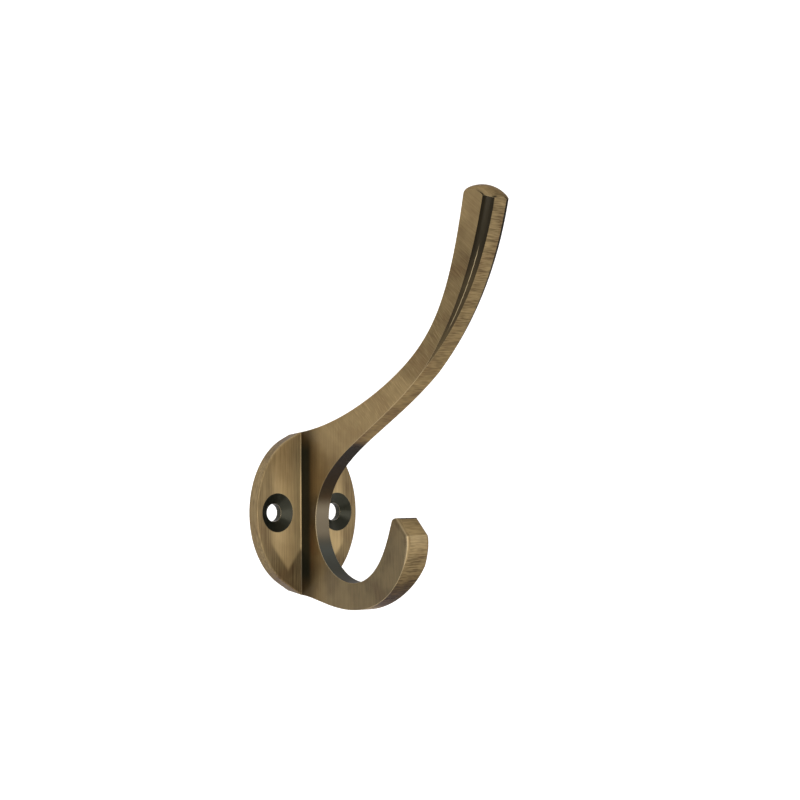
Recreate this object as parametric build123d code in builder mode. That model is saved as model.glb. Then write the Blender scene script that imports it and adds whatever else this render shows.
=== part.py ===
from build123d import *
import math
import os

# Double hat and coat hook, one metal casting on an oval screw plate.
# The origin is at the centre of the plate's back face, which lies on the wall.
# The wall is the plane Y = 0, the hook reaches out towards -Y, and +Z is up.

# Oval plate with a countersunk screw hole on each side of the blade
plate_width = 30.1
plate_height = 36.9
plate_thickness = 3.0
plate_edge = 0.3
screw_spacing = 18.0
screw_bore = 4.2
countersink_width = 9.1
countersink_angle = 118

# Upright blade on the plate's centre line, whose two ends stand a little proud of the oval
blade_thickness = 4.0
top_shoulder = 0.4
bottom_shoulder = 0.9
root_fillet = 0.4
throat_reach = 8.3
throat_height = -1.8

# Upper arm, measured at the outer corner of its domed tip
upper_reach = 68.1
upper_rise = 67.25
upper_depth = 7.85
upper_width = 7.3
upper_lean = 12.4
dome_radius = 7.0
dome_rise = 2.36
dome_offset = 0.95
dome_edge = 1.2
tip_clearance = 0.05

# Lower hook, measured at the front corner of its slanted tip
lower_reach = 41.5
lower_drop = 4.8
lower_belly = 22.2
lower_width = 7.0
tip_length = 6.5
tip_slant = 49
tip_round = 1.2
tip_throat = 3.4
tip_throat_slope = 69

# Softened outer corners, widest at the tips. Each fades out over a share of its edge.
upper_bevel = 1.8
lower_bevel = 1.0
crown_bevel = 1.5
upper_fade = 0.5
lower_fade = 0.17
cut_margin = 2.0
bevel_lean = 10
bevel_lift = 0.15

# Where each arm starts to widen, along the slope from the wall's foot up to the upper tip
slope = 53.1
upper_spread = 25
lower_spread = -3
arm_split = 21

half_plate = plate_height / 2
half_blade = blade_thickness / 2
half_upper = upper_width / 2
half_lower = lower_width / 2
front = plate_thickness
top_root = half_plate + top_shoulder
bottom_root = -half_plate - bottom_shoulder
clear = upper_reach + upper_rise


def side(reach, height):
    # A point of the side view: distance from the wall, height above the plate's centre
    return (-reach, height)


def turned(length, angle):
    # Reach and height of a length in the side view, at an angle above the horizontal
    return length * math.cos(math.radians(angle)), length * math.sin(math.radians(angle))


def oval_height(across_plate):
    # Height of the oval's outline at a distance from the plate's centre line
    return half_plate * math.sqrt(1 - (2 * across_plate / plate_width) ** 2)


def oval_tangent(across_plate, height):
    # Angle on the oval where a straight line to a point outside it touches
    wide, tall = 2 * across_plate / plate_width, height / half_plate
    return math.degrees(math.atan2(tall, wide) - math.acos(1 / math.hypot(wide, tall)))


def outside_corner(plane, half, width, lift):
    # What lies outside the round of a softened corner, on a plane square to that corner.
    # Both ends of the round lean a little, so that they meet the faces in a fine edge.
    fall, rise = turned(1, bevel_lean)
    hollow = (fall - math.sqrt(0.5)) / (fall - rise)
    with BuildSketch(plane) as outside:
        with BuildLine():
            corner = ThreePointArc(
                (half - width, lift),
                (half - hollow * width, lift - hollow * width),
                (half, lift - width),
            )
            Polyline(
                corner @ 1,
                (half + rise, lift - width - fall),
                (half + cut_margin, lift - width - fall),
                (half + cut_margin, lift + cut_margin),
                (half - width - fall, lift + cut_margin),
                (half - width - fall, lift + rise),
                corner @ 0,
            )
        make_face()
    return outside.sketch


def swell(start, end, narrow, wide, place):
    # Half width at a place between two others, easing in and out
    part = min(max((place - start) / (end - start), 0), 1)
    return narrow + (wide - narrow) * part * part * (3 - 2 * part)


# Corners of the two tips in the side view
inner_reach, inner_rise = turned(upper_depth, upper_lean)
upper_outer = side(upper_reach, upper_rise)
upper_inner = side(upper_reach - inner_reach, upper_rise + inner_rise)
slant_reach, slant_rise = turned(tip_length, tip_slant)
throat_back, throat_drop = turned(tip_throat, tip_throat_slope)
lower_outer = side(lower_reach, -lower_drop)
crown_reach = lower_reach - slant_reach
crown_height = -lower_drop + slant_rise
throat_end = side(crown_reach - throat_back, crown_height - throat_drop)

# The slope along which both arms widen, and the direction square to it
run = Vector(0, *side(*turned(1, slope)))
across = Vector(0, *side(*turned(1, slope - 90)))
upper_end = Vector(0, *upper_outer).dot(run)
lower_end = Vector(0, *lower_outer).dot(run)

# Oval plate, drawn out in straight lines to the corners of the blade's two ends
with BuildPart() as plate:
    with BuildSketch(Plane.XZ):
        with BuildLine():
            top_touch = oval_tangent(half_blade, top_root)
            bottom_touch = -oval_tangent(half_blade, -bottom_root)
            right = EllipticalCenterArc(
                (0, 0),
                plate_width / 2,
                half_plate,
                start_angle=bottom_touch,
                arc_size=top_touch - bottom_touch,
            )
            top_end = Polyline(right @ 1, (half_blade, top_root), (0, top_root))
            bottom_end = Polyline(right @ 0, (half_blade, bottom_root), (0, bottom_root))
            mirror(about=Plane.YZ)
        make_face()
    extrude(amount=plate_thickness)
    fillet(plate.faces().sort_by(Axis.Y)[0].edges(), radius=plate_edge)
    with Locations(Plane.XZ.offset(plate_thickness)):
        with GridLocations(screw_spacing, 0, 2, 1):
            CounterSinkHole(screw_bore / 2, countersink_width / 2, counter_sink_angle=countersink_angle)

# Domed form of the upper tip, whose edges roll over into the faces of the arm
middle = (Vector(0, *upper_outer) + Vector(0, *upper_inner)) * 0.5
arm_axis = Vector(0, *side(*turned(1, 90 - upper_lean)))
towards_wall = arm_axis.cross(Vector(1, 0, 0))
dome_centre = middle + arm_axis * (dome_rise - dome_radius) + towards_wall * dome_offset
beyond = dome_radius + upper_depth
with BuildPart() as tip_form:
    with BuildSketch(Plane(origin=middle - arm_axis * upper_depth, x_dir=(1, 0, 0), z_dir=arm_axis)):
        Rectangle(upper_width + 2 * tip_clearance, upper_depth + 2 * tip_clearance)
    extrude(amount=2 * upper_depth)
    uprights = tip_form.edges().filter_by(lambda edge: abs((edge % 0.5).dot(arm_axis)) > 0.99)
    fillet(uprights.sort_by(Axis(middle, towards_wall))[:2], radius=upper_bevel)
    with BuildSketch(Plane(origin=dome_centre, x_dir=towards_wall, z_dir=(1, 0, 0))):
        with BuildLine():
            dome = CenterArc((0, 0), dome_radius, 10, 80)
            Polyline(dome @ 1, (0, beyond), (beyond, beyond), dome @ 0)
        make_face()
    revolve(axis=Axis(dome_centre, arm_axis), mode=Mode.SUBTRACT)
    cap = tip_form.faces().filter_by(GeomType.SPHERE)[0]
    fillet(cap.edges(), radius=dome_edge)

with BuildPart() as tip_trim:
    with BuildSketch(Plane(origin=middle - arm_axis * dome_edge, x_dir=(1, 0, 0), z_dir=arm_axis)):
        Rectangle(3 * upper_width, 3 * upper_depth)
    extrude(amount=beyond)
    add(tip_form.part, mode=Mode.SUBTRACT)

with BuildPart() as hook_casting:
    # Side outline of the blade and its two arms, drawn on the hook's middle plane
    with BuildSketch(Plane.YZ) as profile:
        with BuildLine():
            top_edge = Bezier(
                side(front, top_root),
                side(0.404 * upper_reach, 0.318 * upper_rise),
                side(0.634 * upper_reach, 0.553 * upper_rise),
                side(0.771 * upper_reach, 0.486 * upper_rise),
                upper_inner,
            )
            outer_edge = Bezier(
                upper_outer,
                side(0.874 * upper_reach, 0.465 * upper_rise),
                side(0.519 * upper_reach, 0.316 * upper_rise),
                side(0.273 * upper_reach, 0.256 * upper_rise),
                side(throat_reach, 0.140 * upper_rise),
                side(throat_reach, throat_height),
            )
            throat = Bezier(
                outer_edge @ 1,
                side(throat_reach, -0.765 * lower_belly),
                side(0.69 * lower_reach, -1.06 * lower_belly),
                throat_end,
            )
            crown = side(crown_reach, crown_height)
            Polyline(throat_end, crown, lower_outer)
            belly = Bezier(
                lower_outer,
                side(1.056 * lower_reach, -0.585 * lower_belly),
                side(0.678 * lower_reach, -1.39 * lower_belly),
                side(0.304 * lower_reach, -0.885 * lower_belly),
                side(front, bottom_root),
            )
            top_run = Line(top_edge @ 1, (top_edge @ 1) + (top_edge % 1) * dome_rise * 1.5)
            outer_run = Line(outer_edge @ 0, (outer_edge @ 0) - (outer_edge % 0) * dome_rise * 2)
            Line(top_run @ 1, outer_run @ 1)
            Polyline(belly @ 1, side(front / 2, bottom_root), side(front / 2, top_root), top_edge @ 0)
        make_face()
        fillet(profile.vertices().sort_by_distance(crown)[0], radius=tip_round)
    extrude(amount=max(upper_width, lower_width), both=True)

    # The cheeks of both arms spread from the blade's thickness to the width of each tip
    spread_plane = Plane(origin=across * arm_split, x_dir=(1, 0, 0), z_dir=across)
    for half_tip, start, end, reach in (
        (half_upper, upper_spread, upper_end, -clear),
        (half_lower, lower_spread, lower_end, clear),
    ):
        third = (end - start) / 3
        with BuildSketch(spread_plane):
            with BuildLine():
                cheek = Bezier(
                    (half_blade, start),
                    (half_blade, start + third),
                    (half_tip, end - third),
                    (half_tip, end),
                )
                Polyline(
                    cheek @ 1,
                    (half_tip, clear),
                    (2 * upper_width, clear),
                    (2 * upper_width, -clear),
                    (half_blade, -clear),
                    cheek @ 0,
                )
            make_face()
            mirror(about=Plane.YZ)
        extrude(amount=reach, mode=Mode.SUBTRACT)

    # Softened outer corners, each cut by a tapering round that fades into the sharp edge
    for edge, fade, start, end, half_tip, bevel in (
        (outer_edge, upper_fade, upper_spread, upper_end, half_upper, upper_bevel),
        (belly, lower_fade, lower_spread, lower_end, half_lower, lower_bevel),
    ):
        for hand in (1, -1):
            rounds = []
            for step in range(-1, 7):
                gone = max(step, 0) / 6
                spot = Vector(0, (edge @ (fade * gone)).X, (edge @ (fade * gone)).Y)
                heading = Vector(0, (edge % (fade * gone)).X, (edge % (fade * gone)).Y)
                lift = bevel_lift * gone**3
                half = swell(start, end, half_blade, half_tip, spot.dot(run)) + lift
                if step < 0:
                    spot = spot - heading * dome_rise
                square = Plane(origin=spot, x_dir=(hand, 0, 0), z_dir=heading * hand)
                width = bevel * (1 - gone * gone) + bevel_lift / 3
                rounds.append(outside_corner(square, half, width, lift))
            loft(rounds, mode=Mode.SUBTRACT)

    # Along both sides of the slanted face the round widens towards the crown
    slant = (Vector(0, *crown) - Vector(0, *lower_outer)).normalized()
    widening = (crown_bevel - lower_bevel) / tip_length
    for hand in (1, -1):
        rounds = []
        for past in (-cut_margin, tip_length + cut_margin):
            spot = Vector(0, *lower_outer) + slant * past
            square = Plane(origin=spot, x_dir=(hand, 0, 0), z_dir=slant * -hand)
            rounds.append(outside_corner(square, half_lower, lower_bevel + widening * past, 0))
        loft(rounds, mode=Mode.SUBTRACT)

    # The upper tip is trimmed to its domed form
    add(tip_trim.part, mode=Mode.SUBTRACT)

    # The blade's ends slope back from the plate's front face to the oval behind it
    add(plate.part)
    for end_height, oval in (
        (top_root, oval_height(half_blade)),
        (bottom_root, -oval_height(half_blade)),
    ):
        with BuildSketch(Plane.YZ):
            Polygon(
                side(front, end_height),
                side(0, oval),
                side(0, 2 * end_height),
                side(front, 2 * end_height),
                align=None,
            )
        extrude(amount=half_plate, both=True, mode=Mode.SUBTRACT)

    # A small hollow round fills the corner between the plate and each side of the blade
    root_end = 2 * plate_edge
    with BuildSketch(Plane.XY.offset(bottom_root + root_end)):
        with BuildLine():
            hollow_round = CenterArc((half_blade + root_fillet, -front - root_fillet), root_fillet, 90, 90)
            Polyline(hollow_round @ 1, (half_blade, -front), hollow_round @ 0)
        make_face()
        mirror(about=Plane.YZ)
    extrude(amount=top_root - bottom_root - 2 * root_end)

os.makedirs("parts", exist_ok=True)
hook_casting.part.label = "hook_casting"
export_step(hook_casting.part, "parts/hook_casting.step")
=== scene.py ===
import math

import bmesh
import bpy
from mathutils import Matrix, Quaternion, Vector


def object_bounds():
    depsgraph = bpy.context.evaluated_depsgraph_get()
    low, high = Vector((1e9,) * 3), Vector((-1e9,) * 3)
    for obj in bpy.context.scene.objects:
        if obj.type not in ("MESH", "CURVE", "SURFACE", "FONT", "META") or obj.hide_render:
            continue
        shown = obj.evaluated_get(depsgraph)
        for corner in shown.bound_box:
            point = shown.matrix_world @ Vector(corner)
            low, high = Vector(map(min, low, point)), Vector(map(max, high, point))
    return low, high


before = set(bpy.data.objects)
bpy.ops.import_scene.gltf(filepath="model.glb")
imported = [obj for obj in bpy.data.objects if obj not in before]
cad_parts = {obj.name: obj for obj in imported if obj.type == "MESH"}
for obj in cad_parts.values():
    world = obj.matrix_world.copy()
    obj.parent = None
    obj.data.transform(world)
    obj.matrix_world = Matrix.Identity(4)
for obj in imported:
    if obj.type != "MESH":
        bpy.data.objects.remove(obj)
cad_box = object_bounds()

# The casting: plate, blade and both arms are one piece of brass, cast in sand and fettled.
# It is blackened in a sulphide bath, brushed back by hand on a belt so that the open faces
# show the metal again, and lacquered. Where the belt doesn't reach, the black stays.
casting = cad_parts["hook_casting"]

# Sizes on the casting in millimetres, from the wall plane and the plate's centre. Angles are
# in degrees.
metre = 1000.0
plate_thickness = 3.0
screw_from_centre = 9.0
countersink_radius = 4.5
root_half_width = 3.0
root_reach = 4.0
throat_centre = (0.0, -21.0, -2.0)
throat_radius = 18.0
web_top = 15.0
upper_arm_lean = -53.1
tip_top = cad_box[1][2] * metre
hook_bottom = cad_box[0][2] * metre

# A pale, hard brushed patch on each side of the blade narrows to a point low on the plate
patch_point = 6.0
patch_bottom = -14.2
patch_slope = 1.25

# The belt's real grit leaves lines about 0.05 mm apart, drawn coarser here so that they show
stroke_width = 0.3
stroke_length = 9.0
stroke_depth = 0.1
scratch_width = 0.25
scratch_length = 3.0
scratch_lean = 12.0
stain_size = 5.0
worn_edge = 0.25

# The plate keeps more of its dull film, and the countersinks are glossy
brushed_metallic = 0.85
filmed_metallic = 0.55
brushed_roughness = 0.45
glossy_roughness = 0.28

brushed_brass = "#B2996D"
# Rubbed brass, also the colour of the painted highlights
rubbed_and_highlight_brass = "#C9B48C"
brown_patina = "#403421"
red_patina = "#463320"
umber_patina = "#281E0E"
# Dark patina, which also paints a dark reflection down the upper arm's softened corner
dark_patina_and_reflection = "#1F1A0F"
black_patina = "#26271F"
slate_patina = "#494A44"
worn_slate = "#7C715E"
glancing_brown = "#93836A"


def linear(hex_colour):
    # An sRGB hex value as the linear colour that a shader takes
    parts = [int(hex_colour[i : i + 2], 16) / 255 for i in (1, 3, 5)]
    return [p / 12.92 if p <= 0.04045 else ((p + 0.055) / 1.055) ** 2.4 for p in parts] + [1.0]


def add(tree, kind, links=(), **settings):
    # One node in a material, with its settings and with what comes into it
    made = tree.nodes.new(kind)
    for name, value in settings.items():
        setattr(made, name, value)
    for socket, value in dict(links).items():
        if isinstance(value, bpy.types.NodeSocket):
            tree.links.new(value, made.inputs[socket])
        else:
            made.inputs[socket].default_value = value
    return made


# Antique brass, brushed and lacquered: a satin metal that goes from olive gold to brown and
# black, with fine strokes along the belt's path and a faint soft gloss over all
antique_brass = bpy.data.materials.new("antique_brass_brushed_and_lacquered")
antique_brass.use_nodes = True
brass = antique_brass.node_tree
brass.nodes.clear()

# Where a point lies, in millimetres
surface = add(brass, "ShaderNodeTexCoord")
place = add(
    brass, "ShaderNodeVectorMath", {0: surface.outputs["Object"], 3: metre}, operation="SCALE"
).outputs[0]
along = add(brass, "ShaderNodeSeparateXYZ", {0: place})
height = along.outputs["Z"]
reach = add(brass, "ShaderNodeMath", {0: along.outputs["Y"], 1: -1.0}, operation="MULTIPLY").outputs[0]
off_centre = add(brass, "ShaderNodeMath", {0: along.outputs["X"]}, operation="ABSOLUTE").outputs[0]
off_level = add(brass, "ShaderNodeMath", {0: height}, operation="ABSOLUTE").outputs[0]

# How far it faces each way, where 1 is straight at it
facing = add(brass, "ShaderNodeSeparateXYZ", {0: surface.outputs["Normal"]})
to_wall = facing.outputs["Y"]
upwards = facing.outputs["Z"]
sideways = add(brass, "ShaderNodeMath", {0: facing.outputs["X"]}, operation="ABSOLUTE").outputs[0]


def zone(*limits):
    # A part of the surface: 1 where every reading has reached its last value, 0 before its
    # first. Each limit is a reading with those two values, or a zone found before.
    found = 1.0
    for limit in limits:
        if isinstance(limit, tuple):
            reading, first, last = limit
            sizes = {"Value": reading, "From Min": first, "From Max": last}
            limit = add(brass, "ShaderNodeMapRange", sizes, interpolation_type="SMOOTHSTEP").outputs[0]
        found = add(brass, "ShaderNodeMath", {0: found, 1: limit}, operation="MULTIPLY").outputs[0]
    return found


def marks(name, size, lean, detail):
    # Noise drawn out to a size in millimetres across, out from the wall and upwards, then leant
    laid = {"Vector": place, "Rotation": (math.radians(lean), 0, 0), "Scale": size}
    drawn = add(brass, "ShaderNodeMapping", laid, vector_type="TEXTURE").outputs[0]
    noise = {"Vector": drawn, "Scale": 1, "Detail": detail}
    return add(brass, "ShaderNodeTexNoise", noise, label=name).outputs["Fac"]


# The belt ran upright over the plate and blade, square to the upper arm, and across the outer
# faces. A few deeper scratches cross the arm.
fine = (stroke_width, stroke_width, stroke_length)
level = (scratch_length, scratch_width, scratch_width)
deep = (scratch_width, scratch_width, scratch_length)
upright_strokes = marks("upright strokes", fine, 0, 3)
arm_strokes = marks("strokes square to the upper arm", fine, upper_arm_lean, 3)
face_strokes = marks("strokes across the outer faces", level, 0, 2)
scratches = marks("deeper scratches", deep, upper_arm_lean + scratch_lean, 1)
stains = marks("stains", (stain_size, stain_size, stain_size), upper_arm_lean, 2)

outer_faces = zone((sideways, 0.45, 0.2), (reach, plate_thickness + 0.2, plate_thickness + 0.4))
above_web = zone((height, web_top + 1, web_top + 11))
cheek_strokes = {0: above_web, 2: upright_strokes, 3: arm_strokes}
cheek_strokes = add(brass, "ShaderNodeMix", cheek_strokes).outputs[0]
strokes = add(brass, "ShaderNodeMix", {0: outer_faces, 2: cheek_strokes, 3: face_strokes}).outputs[0]
deep_strokes = zone((strokes, 0.35, 0.65))

# Places on the casting, each with where it fades in: heights and reaches in millimetres, and
# facings from 0 to 1. First the plate: its open face, its foot, its back and its rim's top.
front = zone((to_wall, 0.6, 0.3))
plate = zone((reach, plate_thickness + 0.4, plate_thickness), front)
plate_foot = zone(plate, (height, -5, -16))
plate_back = zone((reach, 0.2, 0.1), (to_wall, 0.3, 0.6))
rim_top = zone(
    (reach, plate_thickness - 0.3, plate_thickness - 0.7), (upwards, 0.5, 0.65), (height, 11, 14)
)

# The pale patch lies above two sloping sides that meet at its point
past_point = add(brass, "ShaderNodeMath", {0: off_centre, 1: patch_point}, operation="SUBTRACT")
from_point = add(brass, "ShaderNodeMath", {0: past_point.outputs[0]}, operation="ABSOLUTE")
sloping_sides = {0: from_point.outputs[0], 1: -patch_slope, 2: height}
above_sides = add(brass, "ShaderNodeMath", sloping_sides, operation="MULTIPLY_ADD").outputs[0]
pale_patch = zone(plate, (above_sides, patch_bottom, patch_bottom + 1.8), (off_centre, 12, 9))
palest = zone(pale_patch, (height, 16, 2))

# The cheeks of the blade and arms, and the corner where they meet the plate
cheeks = zone((sideways, 0.6, 0.8))
root = zone(
    (off_centre, root_half_width + 0.2, root_half_width - 0.2),
    (reach, root_reach + 0.2, root_reach - 0.2),
)
root_corner = zone(root, (reach, plate_thickness - 0.1, plate_thickness), (sideways, 0.1, 0.3))
blade_foot = zone(cheeks, (reach, 3, 5), (height, 8, -10))
# Painted light and shade: the upper arm's cheeks lighter at the foot and darker towards the end
arm_foot_painted_light = zone(cheeks, (height, 9, 15), (height, 32, 24))
arm_end_painted_shade = zone(cheeks, (height, 26, 42), (height, tip_top - 5, tip_top - 17))
arm_scratches = zone(cheeks, (height, web_top - 1, web_top + 9), (scratches, 0.6, 0.68))
low_scratches = zone(arm_scratches, (height, 56, 44))
hook_cheeks = zone(cheeks, (reach, 8, 14), (height, 4, -8))
hook_end = zone(cheeks, (reach, 18, 28), (height, 4, -2))

# The upper arm's outer face and its dome, and the lower hook's outer face and its crown
arm_front = zone(outer_faces, (height, 28, 36), (to_wall, 0.1, -0.1))
dome = zone((height, tip_top - 8, tip_top - 6), (upwards, 0.5, 0.7))
tip_face = zone(outer_faces, (reach, 30, 34), (height, 2, 0))
tip_worn = zone(tip_face, (height, -11, -2), (upwards, 0.9, 0.8))
tip_front = zone(tip_face, (height, -9, -2), (upwards, 0.5, 0.4))
tip_slant = zone(tip_face, (upwards, 0.4, 0.5), (height, -4.5, -2))
tip_foot = zone(tip_face, (height, -6, -12))
crown = zone((reach, 28, 29), (upwards, 0.8, 0.9), (height, -6, -5), (height, 1, 0))
hook_belly = zone(outer_faces, (reach, 26, 30), (height, hook_bottom + 11, hook_bottom + 4))

# How much of the black the belt left, with what each place adds to it or takes from it
black_left = 0.51
for where, more in (
    (zone((stains, 0.3, 0.7)), 0.14),
    (zone((strokes, 0.3, 0.7)), 0.1),
    (outer_faces, -0.1),
    (zone(outer_faces, deep_strokes), 0.2),
    (plate, -0.06),
    (zone(plate, deep_strokes), 0.12),
    (plate_foot, 0.15),
    (pale_patch, -0.17),
    (palest, -0.39),
    (plate_back, 0.25),
    (rim_top, 0.3),
    (root_corner, 0.25),
    # Painted light and shade along the upper arm's cheeks
    (arm_foot_painted_light, -0.1),
    (arm_end_painted_shade, 0.14),
    (blade_foot, 0.06),
    (hook_end, 0.08),
    (arm_scratches, -0.05),
    (low_scratches, -0.11),
    (arm_front, 0.06),
    (dome, -0.1),
    (tip_worn, -0.4),
    (tip_slant, 0.24),
    (crown, 0.26),
    (tip_foot, 0.12),
    (hook_belly, 0.3),
):
    sum_up = {0: where, 1: more, 2: black_left}
    black_left = add(brass, "ShaderNodeMath", sum_up, operation="MULTIPLY_ADD").outputs[0]

# The belt doesn't reach into the lower hook's throat, which stays smooth and dark
to_throat = add(
    brass, "ShaderNodeVectorMath", {0: throat_centre, 1: place}, operation="SUBTRACT"
).outputs[0]
throat_distance = add(
    brass, "ShaderNodeVectorMath", {0: to_throat}, operation="LENGTH"
).outputs["Value"]
throat_facing = add(
    brass, "ShaderNodeVectorMath", {0: to_throat, 1: surface.outputs["Normal"]}, operation="DOT_PRODUCT"
).outputs["Value"]
throat = zone(
    (throat_facing, 2, 5),
    (throat_distance, throat_radius + 1, throat_radius - 1.5),
    (sideways, 0.5, 0.3),
    (reach, plate_thickness + 0.2, plate_thickness + 0.6),
)
throat_top = zone(throat, (height, 0, 7))
throat_middle = zone(throat, (height, 4, 0), (height, -9, -4))
throat_floor = zone(throat, (height, -4, -9))

# Nor does it reach into the corners between blade and plate, or into the countersinks
blade_root = zone(cheeks, (reach, plate_thickness + 0.1, plate_thickness + 0.3))
root_fade = zone(blade_root, (reach, 11, 5))
root_black = zone(blade_root, (reach, 7.0, 5.4), (off_level, 18, 14))
past_screw = add(
    brass, "ShaderNodeMath", {0: off_centre, 1: screw_from_centre}, operation="SUBTRACT"
).outputs[0]
to_screw = add(brass, "ShaderNodeCombineXYZ", {0: past_screw, 1: height}).outputs[0]
screw_distance = add(
    brass, "ShaderNodeVectorMath", {0: to_screw}, operation="LENGTH"
).outputs["Value"]
countersinks = zone(
    (screw_distance, countersink_radius + 0.15, countersink_radius),
    (reach, plate_thickness + 0.05, plate_thickness - 0.05),
    front,
)

# The softened corner down the front of the upper arm is black at the tip and fades below:
# partly patina, partly a painted dark reflection, with a painted highlight line along its middle
soft_corner = zone((sideways, 0.08, 0.2), (to_wall, -0.1, -0.22), (upwards, 0.42, 0.3))
corner_patina_and_reflection_fade = zone(soft_corner, (height, 18, 44))
corner_patina_and_dark_reflection = zone(soft_corner, (height, 48, 58))
corner_highlight_line = zone((sideways, 0.65, 0.68), (sideways, 0.72, 0.69), (height, 39, 42), (height, 58, 54))
# A painted highlight line along a softened edge at the lower hook's tip
tip_highlight_line = zone((sideways, 0.55, 0.68), (sideways, 0.85, 0.74), (reach, 33, 34), (height, 1, 0))

# Handling rubs the sharp edges bright and a painted highlight glints along them, less so in the root
# and round the throat's top
rounded = add(brass, "ShaderNodeBevel", {"Radius": worn_edge / metre}, samples=6).outputs[0]
flat = add(brass, "ShaderNodeNewGeometry").outputs["Normal"]
bent = add(brass, "ShaderNodeVectorMath", {0: rounded, 1: flat}, operation="DOT_PRODUCT")
edge_wear_and_highlight = zone((bent.outputs["Value"], 0.985, 0.9))
throat_shoulder = zone(
    (throat_distance, throat_radius + 2, throat_radius + 1), (height, 1, 4), (height, 16, 13)
)
open_edge_wear_and_highlight = edge_wear_and_highlight
for sheltered in (root, throat_shoulder):
    shown = add(brass, "ShaderNodeMath", {0: 1.0, 1: sheltered}, operation="SUBTRACT").outputs[0]
    open_edge_wear_and_highlight = zone(open_edge_wear_and_highlight, shown)

# The colours lie over each other in this order, each as strongly as its number says
mottled = {0: zone((stains, 0.45, 0.75)), 6: linear(brown_patina), 7: linear(red_patina)}
browns = add(brass, "ShaderNodeMix", mottled, data_type="RGBA").outputs[2]
colour = linear(brushed_brass)
for where, strength, over in (
    (black_left, 1.0, browns),
    (root_fade, 0.95, browns),
    (throat, 1.0, browns),
    # Painted dark reflection, partly patina, down the upper arm's softened corner
    (corner_patina_and_reflection_fade, 0.85, linear(dark_patina_and_reflection)),
    (corner_patina_and_dark_reflection, 1.0, linear(dark_patina_and_reflection)),
    (throat_top, 1.0, linear(umber_patina)),
    (hook_cheeks, 0.3, linear(slate_patina)),
    (tip_front, 0.4, linear(rubbed_and_highlight_brass)),
    (root_black, 1.0, linear(black_patina)),
    (countersinks, 1.0, linear(black_patina)),
    (throat_middle, 0.8, linear(worn_slate)),
    (throat_floor, 1.0, linear(slate_patina)),
    # Painted highlights: a line down the arm's corner, a line at the lower tip, and glints along the
    # edges, which are also rubbed
    (corner_highlight_line, 0.5, linear(rubbed_and_highlight_brass)),
    (tip_highlight_line, 0.25, linear(rubbed_and_highlight_brass)),
    (edge_wear_and_highlight, 0.15, linear(rubbed_and_highlight_brass)),
    (open_edge_wear_and_highlight, 0.53, linear(rubbed_and_highlight_brass)),
):
    covered = add(brass, "ShaderNodeMath", {0: where, 1: strength}, operation="MULTIPLY").outputs[0]
    coats = {0: covered, 6: colour, 7: over}
    colour = add(brass, "ShaderNodeMix", coats, data_type="RGBA").outputs[2]

metal = {"Value": plate, "To Min": brushed_metallic, "To Max": filmed_metallic}
rough = {"Value": countersinks, "To Min": brushed_roughness, "To Max": glossy_roughness}
relief = {"Strength": 0.12, "Distance": stroke_depth / metre, "Height": strokes, "Normal": rounded}
lacquered = {
    "Base Color": colour,
    "Metallic": add(brass, "ShaderNodeMapRange", metal).outputs[0],
    "Roughness": add(brass, "ShaderNodeMapRange", rough).outputs[0],
    "Specular Tint": linear(glancing_brown),
    "Coat Weight": 0.1,
    "Coat Roughness": 0.2,
    "Normal": add(brass, "ShaderNodeBump", relief).outputs[0],
}
finish = add(brass, "ShaderNodeBsdfPrincipled", lacquered)
add(brass, "ShaderNodeOutputMaterial", {"Surface": finish.outputs[0]})

for slot in casting.material_slots:
    slot.material = antique_brass

# Pale studio: a matt white floor well below the hook and a white paper sweep behind it.
# Both are seen, and mirrored in the metal, as plain white, and take the hook's shadow.
floor_height = -0.22
sweep_distance = 0.9
stage_half = 2.5
paper_white = "#F4F4F4"
glow_white = "#FFFFFF"
paper_roughness = 0.9
paper_glow = 0.6


def white_paper(name):
    # Matt white paper that a camera or a mirror sees at full white
    made = bpy.data.materials.new(name)
    made.use_nodes = True
    tree = made.node_tree
    tree.nodes.clear()
    ray = add(tree, "ShaderNodeLightPath")
    seen = 0.0
    for kind in ("Is Camera Ray", "Is Glossy Ray", "Is Transmission Ray"):
        either = {0: seen, 1: ray.outputs[kind]}
        seen = add(tree, "ShaderNodeMath", either, operation="MAXIMUM").outputs[0]
    glow = add(tree, "ShaderNodeMath", {0: seen, 1: paper_glow}, operation="MULTIPLY").outputs[0]
    matt = {
        "Base Color": linear(paper_white),
        "Roughness": paper_roughness,
        "Emission Color": linear(glow_white),
        "Emission Strength": glow,
    }
    paper = add(tree, "ShaderNodeBsdfPrincipled", matt)
    add(tree, "ShaderNodeOutputMaterial", {"Surface": paper.outputs[0]})
    return made


def paper_sheet(name, turned, moved):
    # A flat square of paper, turned and then moved into place
    square = bmesh.new()
    bmesh.ops.create_grid(square, x_segments=1, y_segments=1, size=stage_half)
    bmesh.ops.rotate(square, verts=square.verts, cent=(0, 0, 0), matrix=turned.to_matrix())
    bmesh.ops.translate(square, verts=square.verts, vec=moved)
    mesh = bpy.data.meshes.new(name)
    square.to_mesh(mesh)
    square.free()
    sheet = bpy.data.objects.new(name, mesh)
    bpy.context.scene.collection.objects.link(sheet)
    mesh.materials.append(white_paper(name + "_paper"))


upright = Quaternion((1, 0, 0), math.radians(90))
paper_sheet("floor", Quaternion(), (0, 0, floor_height))
paper_sheet("sweep", upright, (0, sweep_distance, floor_height + stage_half))

# Soft boxes: rectangular lamps behind white cloth, all at one distance from the hook. The
# main one stands near the camera, and weaker ones stand to the right and hang overhead.
hook_middle = Vector((0, -0.034, 0.024))
lamp_distance = 0.9
air_grey = "#CCCCCC"


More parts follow.
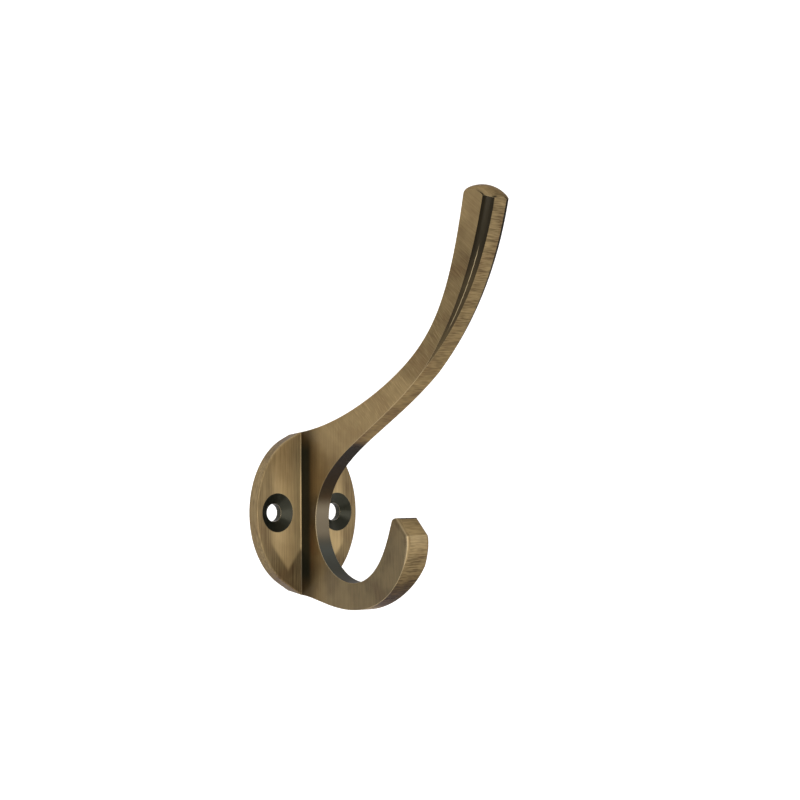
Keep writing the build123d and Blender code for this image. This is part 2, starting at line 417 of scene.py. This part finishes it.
def way_out(azimuth, elevation):
    # The direction away from the hook at an angle round it and an angle up, in degrees
    a = math.radians(azimuth)
    e = math.radians(elevation)
    return Vector((math.sin(a) * math.cos(e), -math.cos(a) * math.cos(e), math.sin(e)))


def soft_box(name, azimuth, elevation, width, tall, power):
    # A rectangular lamp at an angle round the hook, turned to face it
    lamp = bpy.data.lights.new(name, "AREA")
    lamp.shape = "RECTANGLE"
    lamp.size = width
    lamp.size_y = tall
    lamp.energy = power
    out = way_out(azimuth, elevation)
    box = bpy.data.objects.new(name, lamp)
    box.location = hook_middle + out * lamp_distance
    box.rotation_mode = "QUATERNION"
    box.rotation_quaternion = out.to_track_quat("Z", "Y")
    bpy.context.scene.collection.objects.link(box)


soft_box("front_box", azimuth=-42, elevation=8, width=0.9, tall=0.7, power=6.0)
soft_box("right_box", azimuth=55, elevation=15, width=0.6, tall=0.9, power=1.0)
soft_box("top_box", azimuth=-20, elevation=75, width=0.7, tall=0.7, power=1.2)

# The studio's own even light fills the shadows
world = bpy.data.worlds.new("studio_air")
world.use_nodes = True
world.node_tree.nodes["Background"].inputs["Color"].default_value = linear(air_grey)
world.node_tree.nodes["Background"].inputs["Strength"].default_value = 1.0
bpy.context.scene.world = world

# The camera: a long lens to the left of the hook and a little below its middle, shifted and
# rolled as the photograph was taken. Angles are in degrees and distances in metres.
camera_azimuth = -42.0
camera_elevation = -2.29
camera_roll = -0.36
camera_distance = 0.47304
camera_right = 0.02371
camera_up = 0.02651
lens_millimetres = 90
film_millimetres = 36

back = way_out(camera_azimuth, camera_elevation)
turn = (-back).to_track_quat("-Z", "Y") @ Quaternion((0, 0, 1), math.radians(camera_roll))
camera = bpy.data.objects.new("camera", bpy.data.cameras.new("camera"))
camera.data.lens = lens_millimetres
camera.data.sensor_width = film_millimetres
camera.rotation_mode = "QUATERNION"
camera.rotation_quaternion = turn
camera.location = (
    turn @ Vector((1, 0, 0)) * camera_right
    + turn @ Vector((0, 1, 0)) * camera_up
    + back * camera_distance
)
bpy.context.scene.collection.objects.link(camera)
bpy.context.scene.camera = camera

bpy.context.scene.view_settings.view_transform = "Standard"
